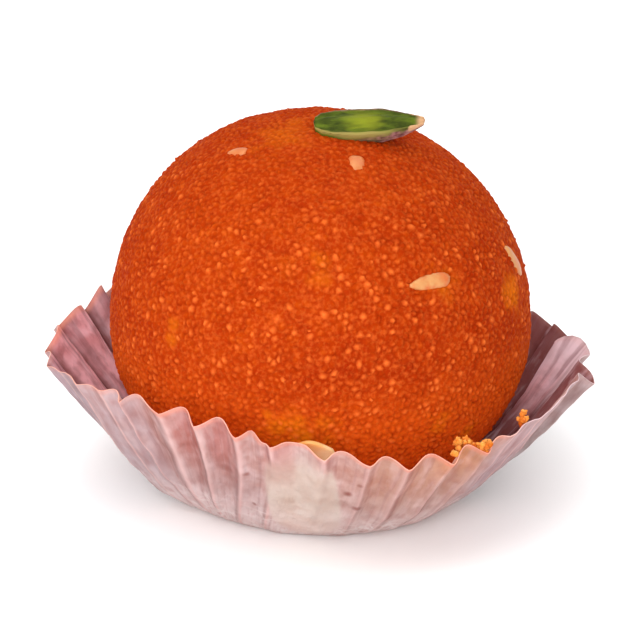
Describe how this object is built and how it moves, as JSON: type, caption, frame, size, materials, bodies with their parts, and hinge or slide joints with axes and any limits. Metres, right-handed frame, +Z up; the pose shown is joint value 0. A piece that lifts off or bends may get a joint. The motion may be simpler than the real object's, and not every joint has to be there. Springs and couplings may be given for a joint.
{
  "type": "motichoor ladoo",
  "caption": "Ball-shaped sweet of fine fried gram pearls with nut toppings, resting in a fluted greaseproof paper case",
  "frame": {"origin": "centre of the flat underside of the paper case's foot, where it rests", "axes": "+Z up, -Y toward the side the picture shows, +X to the right in that view"},
  "size_m": [0.0671, 0.0633, 0.0487],
  "materials": {
    "ladoo": "satin, syrupy",
    "pistachio": "satin",
    "almond_flake": "satin",
    "paper_case": "translucent, matte"
  },
  "bodies": {
    "root": {"ladoo": "ladoo", "pistachio": "pistachio", "almond_flake": "almond_flake", "paper_case": "paper_case"}
  },
  "joints": []
}
